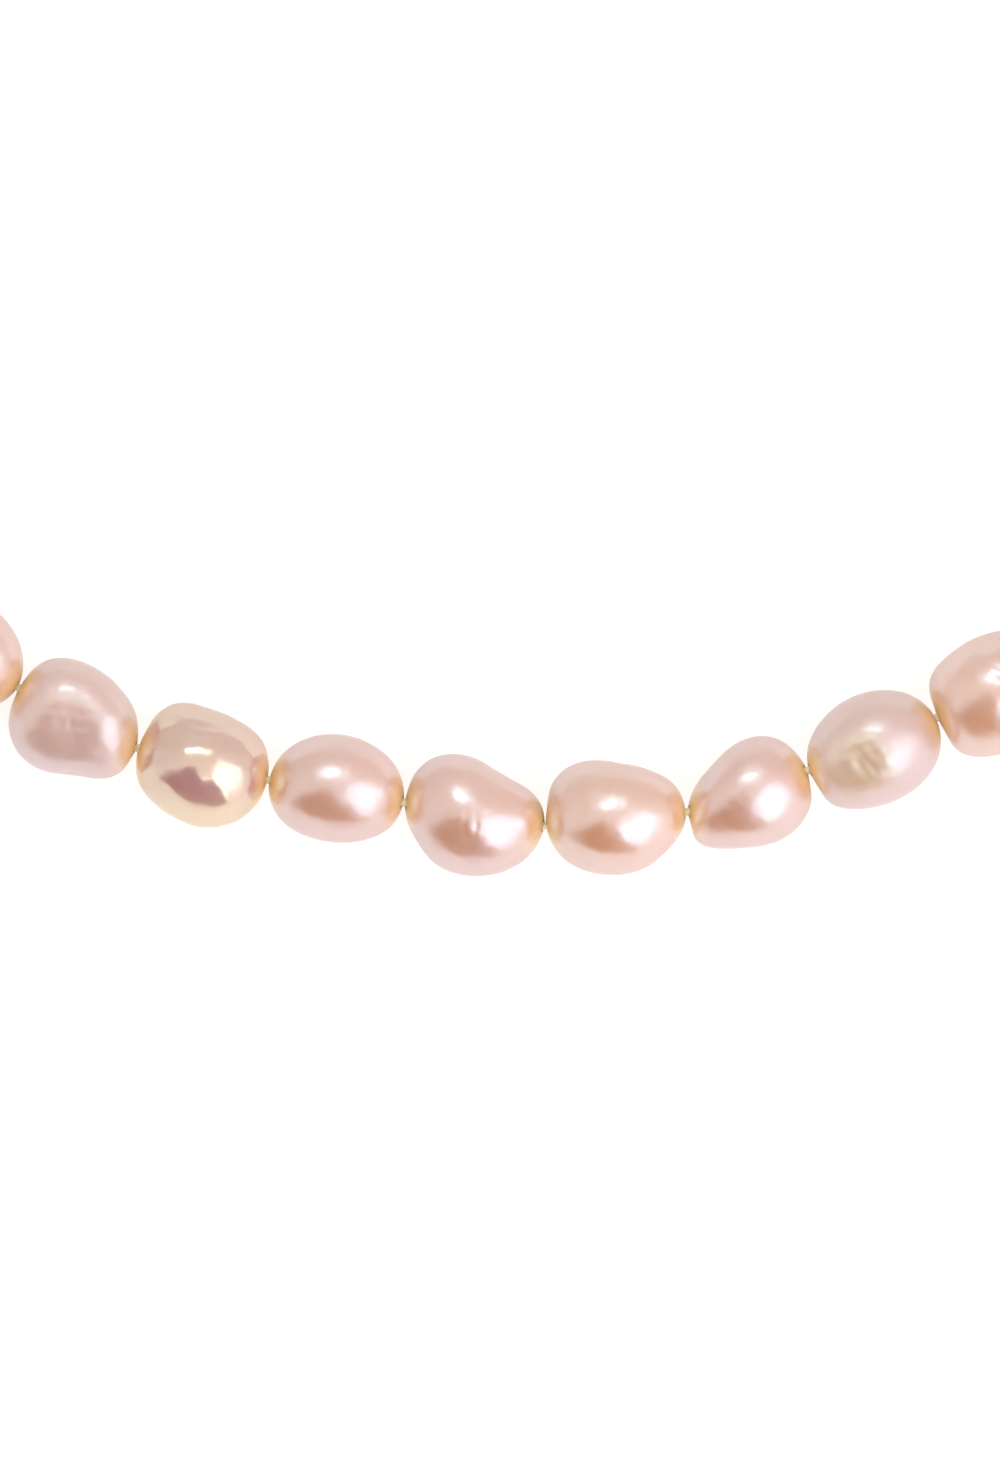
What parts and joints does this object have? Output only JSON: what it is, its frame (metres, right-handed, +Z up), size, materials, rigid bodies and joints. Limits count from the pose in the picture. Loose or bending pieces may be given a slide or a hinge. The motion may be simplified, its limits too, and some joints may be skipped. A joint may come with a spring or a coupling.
{
  "type": "pearl necklace",
  "caption": "Single strand of touching baroque pearls on a thread, with a lobster claw and a catch tab, lying open in a round loop.",
  "frame": {"origin": "bottom centre of the loop, on the table that the necklace lies on", "axes": "+Z up; the foremost pearls lie towards -Y and the clasp towards +Y; +X to the right as seen from above with the clasp at the top"},
  "size_m": [0.1563, 0.1646, 0.0085],
  "materials": {
    "nacre_pink": "pearlescent, soft pink",
    "nacre_peach": "pearlescent, peach",
    "nacre_cream": "pearlescent, cream",
    "nacre_mauve": "pearlescent, pink with a mauve overtone",
    "silk": "twisted silk, warm cream",
    "silver": "polished silver",
    "spring_steel": "drawn wire"
  },
  "bodies": {
    "pearl_01": {"pearl_01": "nacre_peach"},
    "pearl_02": {"pearl_02": "nacre_pink"},
    "pearl_03": {"pearl_03": "nacre_cream"},
    "pearl_04": {"pearl_04": "nacre_pink"},
    "pearl_05": {"pearl_05": "nacre_peach"},
    "pearl_06": {"pearl_06": "nacre_mauve"},
    "pearl_07": {"pearl_07": "nacre_pink"},
    "pearl_08": {"pearl_08": "nacre_pink"},
    "pearl_09": {"pearl_09": "nacre_cream"},
    "pearl_10": {"pearl_10": "nacre_peach"},
    "pearl_11": {"pearl_11": "nacre_pink"},
    "pearl_12": {"pearl_12": "nacre_mauve"},
    "pearl_13": {"pearl_13": "nacre_pink"},
    "pearl_14": {"pearl_14": "nacre_pink"},
    "pearl_15": {"pearl_15": "nacre_peach"},
    "pearl_16": {"pearl_16": "nacre_pink"},
    "pearl_17": {"pearl_17": "nacre_peach"},
    "pearl_18": {"pearl_18": "nacre_pink"},
    "pearl_19": {"pearl_19": "nacre_mauve"},
    "pearl_20": {"pearl_20": "nacre_cream"},
    "pearl_21": {"pearl_21": "nacre_pink"},
    "pearl_22": {"pearl_22": "nacre_pink", "silk_thread": "silk"},
    "pearl_23": {"pearl_23": "nacre_peach"},
    "pearl_24": {"pearl_24": "nacre_pink"},
    "pearl_25": {"pearl_25": "nacre_mauve"},
    "pearl_26": {"pearl_26": "nacre_peach"},
    "pearl_27": {"pearl_27": "nacre_pink"},
    "pearl_28": {"pearl_28": "nacre_peach"},
    "pearl_29": {"pearl_29": "nacre_pink"},
    "pearl_30": {"pearl_30": "nacre_cream"},
    "pearl_31": {"pearl_31": "nacre_peach"},
    "pearl_32": {"pearl_32": "nacre_pink"},
    "pearl_33": {"pearl_33": "nacre_mauve"},
    "pearl_34": {"pearl_34": "nacre_pink"},
    "pearl_35": {"pearl_35": "nacre_pink"},
    "pearl_36": {"pearl_36": "nacre_peach"},
    "pearl_37": {"pearl_37": "nacre_pink"},
    "pearl_38": {"pearl_38": "nacre_cream"},
    "pearl_39": {"pearl_39": "nacre_pink"},
    "pearl_40": {"pearl_40": "nacre_peach"},
    "pearl_41": {"pearl_41": "nacre_mauve"},
    "pearl_42": {"pearl_42": "nacre_pink"},
    "pearl_43": {"pearl_43": "nacre_peach"},
    "pearl_44": {"pearl_44": "nacre_pink"},
    "bead_tip_left": {"bead_tip_left": "silver", "end_knot_left": "silk"},
    "bead_tip_right": {"bead_tip_right": "silver", "end_knot_right": "silk"},
    "jump_ring_left": {"jump_ring_left": "silver"},
    "jump_ring_right": {"jump_ring_right": "silver"},
    "claw": {"claw_body": "silver", "claw_rivet": "silver", "claw_spring": "spring_steel"},
    "claw_lever": {"claw_lever": "silver"},
    "catch_tab": {"catch_tab": "silver"}
  },
  "joints": [
    {"name": "gap_21_yaw", "type": "hinge", "parent": "pearl_22", "child": "pearl_21", "pos_m": [-0.00833, -0.07702, 0.00417], "axis": [0, 0, 1], "range_deg": [-4, 18], "deforming": ["silk_thread"]},
    {"name": "gap_20_pitch", "type": "hinge", "parent": "pearl_21", "child": "pearl_20", "pos_m": [-0.01789, -0.0754, 0.00417], "axis": [0.2011, 0.9796, 0], "range_deg": [-12, 12], "deforming": ["silk_thread"]},
    {"name": "gap_19_yaw", "type": "hinge", "parent": "pearl_20", "child": "pearl_19", "pos_m": [-0.02713, -0.07316, 0.00417], "axis": [0, 0, 1], "range_deg": [-4, 18], "deforming": ["silk_thread"]},
    {"name": "gap_18_pitch", "type": "hinge", "parent": "pearl_19", "child": "pearl_18", "pos_m": [-0.03551, -0.06891, 0.00417], "axis": [-0.5098, -0.8603, 0], "range_deg": [-12, 12], "deforming": ["silk_thread"]},
    {"name": "gap_17_yaw", "type": "hinge", "parent": "pearl_18", "child": "pearl_17", "pos_m": [-0.04368, -0.06332, 0.00417], "axis": [0, 0, 1], "range_deg": [-4, 18], "deforming": ["silk_thread"]},
    {"name": "gap_16_pitch", "type": "hinge", "parent": "pearl_17", "child": "pearl_16", "pos_m": [-0.05086, -0.05676, 0.00417], "axis": [0.7086, 0.7056, 0], "range_deg": [-12, 12], "deforming": ["silk_thread"]},
    {"name": "gap_15_yaw", "type": "hinge", "parent": "pearl_16", "child": "pearl_15", "pos_m": [-0.05748, -0.04945, 0.00417], "axis": [0, 0, 1], "range_deg": [-4, 18], "deforming": ["silk_thread"]},
    {"name": "gap_14_pitch", "type": "hinge", "parent": "pearl_15", "child": "pearl_14", "pos_m": [-0.06263, -0.04175, 0.00417], "axis": [-0.8581, -0.5135, 0], "range_deg": [-12, 12], "deforming": ["silk_thread"]},
    {"name": "gap_13_yaw", "type": "hinge", "parent": "pearl_14", "child": "pearl_13", "pos_m": [-0.06733, -0.03292, 0.00417], "axis": [0, 0, 1], "range_deg": [-4, 18], "deforming": ["silk_thread"]},
    {"name": "gap_12_pitch", "type": "hinge", "parent": "pearl_13", "child": "pearl_12", "pos_m": [-0.07069, -0.02401, 0.00417], "axis": [0.9561, 0.2931, 0], "range_deg": [-12, 12], "deforming": ["silk_thread"]},
    {"name": "gap_11_yaw", "type": "hinge", "parent": "pearl_12", "child": "pearl_11", "pos_m": [-0.07289, -0.01478, 0.00417], "axis": [0, 0, 1], "range_deg": [-4, 18], "deforming": ["silk_thread"]},
    {"name": "gap_10_pitch", "type": "hinge", "parent": "pearl_11", "child": "pearl_10", "pos_m": [-0.0742, -0.00485, 0.00417], "axis": [-0.9983, -0.0587, 0], "range_deg": [-12, 12], "deforming": ["silk_thread"]},
    {"name": "gap_09_yaw", "type": "hinge", "parent": "pearl_10", "child": "pearl_09", "pos_m": [-0.07408, 0.00442, 0.00417], "axis": [0, 0, 1], "range_deg": [-4, 18], "deforming": ["silk_thread"]},
    {"name": "gap_08_pitch", "type": "hinge", "parent": "pearl_09", "child": "pearl_08", "pos_m": [-0.07301, 0.0142, 0.00417], "axis": [0.9841, -0.1779, 0], "range_deg": [-12, 12], "deforming": ["silk_thread"]},
    {"name": "gap_07_yaw", "type": "hinge", "parent": "pearl_08", "child": "pearl_07", "pos_m": [-0.0706, 0.02365, 0.00417], "axis": [0, 0, 1], "range_deg": [-4, 18], "deforming": ["silk_thread"]},
    {"name": "gap_06_pitch", "type": "hinge", "parent": "pearl_07", "child": "pearl_06", "pos_m": [-0.06733, 0.03237, 0.00417], "axis": [-0.9137, 0.4063, 0], "range_deg": [-12, 12], "deforming": ["silk_thread"]},
    {"name": "gap_05_yaw", "type": "hinge", "parent": "pearl_06", "child": "pearl_05", "pos_m": [-0.06272, 0.04129, 0.00417], "axis": [0, 0, 1], "range_deg": [-4, 18], "deforming": ["silk_thread"]},
    {"name": "gap_04_pitch", "type": "hinge", "parent": "pearl_05", "child": "pearl_04", "pos_m": [-0.0573, 0.04899, 0.00417], "axis": [0.7893, -0.614, 0], "range_deg": [-12, 12], "deforming": ["silk_thread"]},
    {"name": "gap_03_yaw", "type": "hinge", "parent": "pearl_04", "child": "pearl_03", "pos_m": [-0.05105, 0.05627, 0.00417], "axis": [0, 0, 1], "range_deg": [-4, 18], "deforming": ["silk_thread"]},
    {"name": "gap_02_pitch", "type": "hinge", "parent": "pearl_03", "child": "pearl_02", "pos_m": [-0.04353, 0.0628, 0.00417], "axis": [-0.6175, 0.7866, 0], "range_deg": [-12, 12], "deforming": ["silk_thread"]},
    {"name": "gap_01_yaw", "type": "hinge", "parent": "pearl_02", "child": "pearl_01", "pos_m": [-0.03598, 0.06815, 0.00417], "axis": [0, 0, 1], "range_deg": [-4, 18], "deforming": ["silk_thread"]},
    {"name": "gap_22_yaw", "type": "hinge", "parent": "pearl_22", "child": "pearl_23", "pos_m": [0.00159, -0.07866, 0.00417], "axis": [0, 0, 1], "range_deg": [-18, 4], "deforming": ["silk_thread"]},
    {"name": "gap_23_pitch", "type": "hinge", "parent": "pearl_23", "child": "pearl_24", "pos_m": [0.01159, -0.07768, 0.00417], "axis": [-0.2139, 0.9769, 0], "range_deg": [-12, 12], "deforming": ["silk_thread"]},
    {"name": "gap_24_yaw", "type": "hinge", "parent": "pearl_24", "child": "pearl_25", "pos_m": [0.02009, -0.07473, 0.00417], "axis": [0, 0, 1], "range_deg": [-18, 4], "deforming": ["silk_thread"]},
    {"name": "gap_25_pitch", "type": "hinge", "parent": "pearl_25", "child": "pearl_26", "pos_m": [0.02917, -0.07104, 0.00417], "axis": [0.4399, -0.898, 0], "range_deg": [-12, 12], "deforming": ["silk_thread"]},
    {"name": "gap_26_yaw", "type": "hinge", "parent": "pearl_26", "child": "pearl_27", "pos_m": [0.03782, -0.06603, 0.00417], "axis": [0, 0, 1], "range_deg": [-18, 4], "deforming": ["silk_thread"]},
    {"name": "gap_27_pitch", "type": "hinge", "parent": "pearl_27", "child": "pearl_28", "pos_m": [0.04593, -0.0601, 0.00417], "axis": [-0.6465, 0.7629, 0], "range_deg": [-12, 12], "deforming": ["silk_thread"]},
    {"name": "gap_28_yaw", "type": "hinge", "parent": "pearl_28", "child": "pearl_29", "pos_m": [0.05259, -0.05358, 0.00417], "axis": [0, 0, 1], "range_deg": [-18, 4], "deforming": ["silk_thread"]},
    {"name": "gap_29_pitch", "type": "hinge", "parent": "pearl_29", "child": "pearl_30", "pos_m": [0.05888, -0.04614, 0.00417], "axis": [0.8079, -0.5893, 0], "range_deg": [-12, 12], "deforming": ["silk_thread"]},
    {"name": "gap_30_yaw", "type": "hinge", "parent": "pearl_30", "child": "pearl_31", "pos_m": [0.0641, -0.03779, 0.00417], "axis": [0, 0, 1], "range_deg": [-18, 4], "deforming": ["silk_thread"]},
    {"name": "gap_31_pitch", "type": "hinge", "parent": "pearl_31", "child": "pearl_32", "pos_m": [0.06814, -0.02945, 0.00417], "axis": [-0.9245, 0.3811, 0], "range_deg": [-12, 12], "deforming": ["silk_thread"]},
    {"name": "gap_32_yaw", "type": "hinge", "parent": "pearl_32", "child": "pearl_33", "pos_m": [0.07139, -0.01998, 0.00417], "axis": [0, 0, 1], "range_deg": [-18, 4], "deforming": ["silk_thread"]},
    {"name": "gap_33_pitch", "type": "hinge", "parent": "pearl_33", "child": "pearl_34", "pos_m": [0.07326, -0.01066, 0.00417], "axis": [0.989, -0.1481, 0], "range_deg": [-12, 12], "deforming": ["silk_thread"]},
    {"name": "gap_34_yaw", "type": "hinge", "parent": "pearl_34", "child": "pearl_35", "pos_m": [0.0742, -0.00121, 0.00417], "axis": [0, 0, 1], "range_deg": [-18, 4], "deforming": ["silk_thread"]},
    {"name": "gap_35_pitch", "type": "hinge", "parent": "pearl_35", "child": "pearl_36", "pos_m": [0.07373, 0.00879, 0.00417], "axis": [-0.9954, -0.0954, 0], "range_deg": [-12, 12], "deforming": ["silk_thread"]},
    {"name": "gap_36_yaw", "type": "hinge", "parent": "pearl_36", "child": "pearl_37", "pos_m": [0.0724, 0.01796, 0.00417], "axis": [0, 0, 1], "range_deg": [-18, 4], "deforming": ["silk_thread"]},
    {"name": "gap_37_pitch", "type": "hinge", "parent": "pearl_37", "child": "pearl_38", "pos_m": [0.06968, 0.02743, 0.00417], "axis": [0.9433, 0.3319, 0], "range_deg": [-12, 12], "deforming": ["silk_thread"]},
    {"name": "gap_38_yaw", "type": "hinge", "parent": "pearl_38", "child": "pearl_39", "pos_m": [0.06592, 0.03642, 0.00417], "axis": [0, 0, 1], "range_deg": [-18, 4], "deforming": ["silk_thread"]},
    {"name": "gap_39_pitch", "type": "hinge", "parent": "pearl_39", "child": "pearl_40", "pos_m": [0.06139, 0.04456, 0.00417], "axis": [-0.8376, -0.5463, 0], "range_deg": [-12, 12], "deforming": ["silk_thread"]},
    {"name": "gap_40_yaw", "type": "hinge", "parent": "pearl_40", "child": "pearl_41", "pos_m": [0.05532, 0.05256, 0.00417], "axis": [0, 0, 1], "range_deg": [-18, 4], "deforming": ["silk_thread"]},
    {"name": "gap_41_pitch", "type": "hinge", "parent": "pearl_41", "child": "pearl_42", "pos_m": [0.04896, 0.05949, 0.00417], "axis": [0.6855, 0.7281, 0], "range_deg": [-12, 12], "deforming": ["silk_thread"]},
    {"name": "gap_42_yaw", "type": "hinge", "parent": "pearl_42", "child": "pearl_43", "pos_m": [0.0415, 0.06555, 0.00417], "axis": [0, 0, 1], "range_deg": [-18, 4], "deforming": ["silk_thread"]},
    {"name": "gap_43_pitch", "type": "hinge", "parent": "pearl_43", "child": "pearl_44", "pos_m": [0.03318, 0.071, 0.00417], "axis": [-0.4939, -0.8695, 0], "range_deg": [-12, 12], "deforming": ["silk_thread"]},
    {"name": "tip_left_pitch", "type": "hinge", "parent": "pearl_01", "child": "bead_tip_left", "pos_m": [-0.02719, 0.07276, 0.00417], "axis": [0.3857, -0.9226, 0], "range_deg": [-12, 12], "deforming": ["silk_thread"]},
    {"name": "tip_right_yaw", "type": "hinge", "parent": "pearl_44", "child": "bead_tip_right", "pos_m": [0.02486, 0.07506, 0.00417], "axis": [0, 0, 1], "range_deg": [-12, 4], "deforming": ["silk_thread"]},
    {"name": "ring_left_swing", "type": "hinge", "parent": "bead_tip_left", "child": "jump_ring_left", "pos_m": [-0.02131, 0.07522, 0.0021], "axis": [-0.3857, 0.9226, 0], "range_deg": [-20, 20]},
    {"name": "ring_right_swing", "type": "hinge", "parent": "bead_tip_right", "child": "jump_ring_right", "pos_m": [0.01891, 0.07734, 0.0021], "axis": [-0.358, -0.9337, 0], "range_deg": [-20, 20]},
    {"name": "claw_swing", "type": "hinge", "parent": "jump_ring_left", "child": "claw", "pos_m": [-0.01864, 0.07633, 0.0024], "axis": [0, 0, 1], "range_deg": [-35, 35]},
    {"name": "catch_tab_swing", "type": "hinge", "parent": "jump_ring_right", "child": "catch_tab", "pos_m": [0.01621, 0.07838, 0.0024], "axis": [0, 0, 1], "range_deg": [-35, 35]},
    {"name": "claw_lever_hinge", "type": "hinge", "parent": "claw", "child": "claw_lever", "pos_m": [-0.01503, 0.07931, 0.00195], "axis": [0.0957, 0.04, 0.9946], "range_deg": [-25, 0], "stiffness_Nm_per_rad": 0.01, "springref_deg": 17.19}
  ]
}
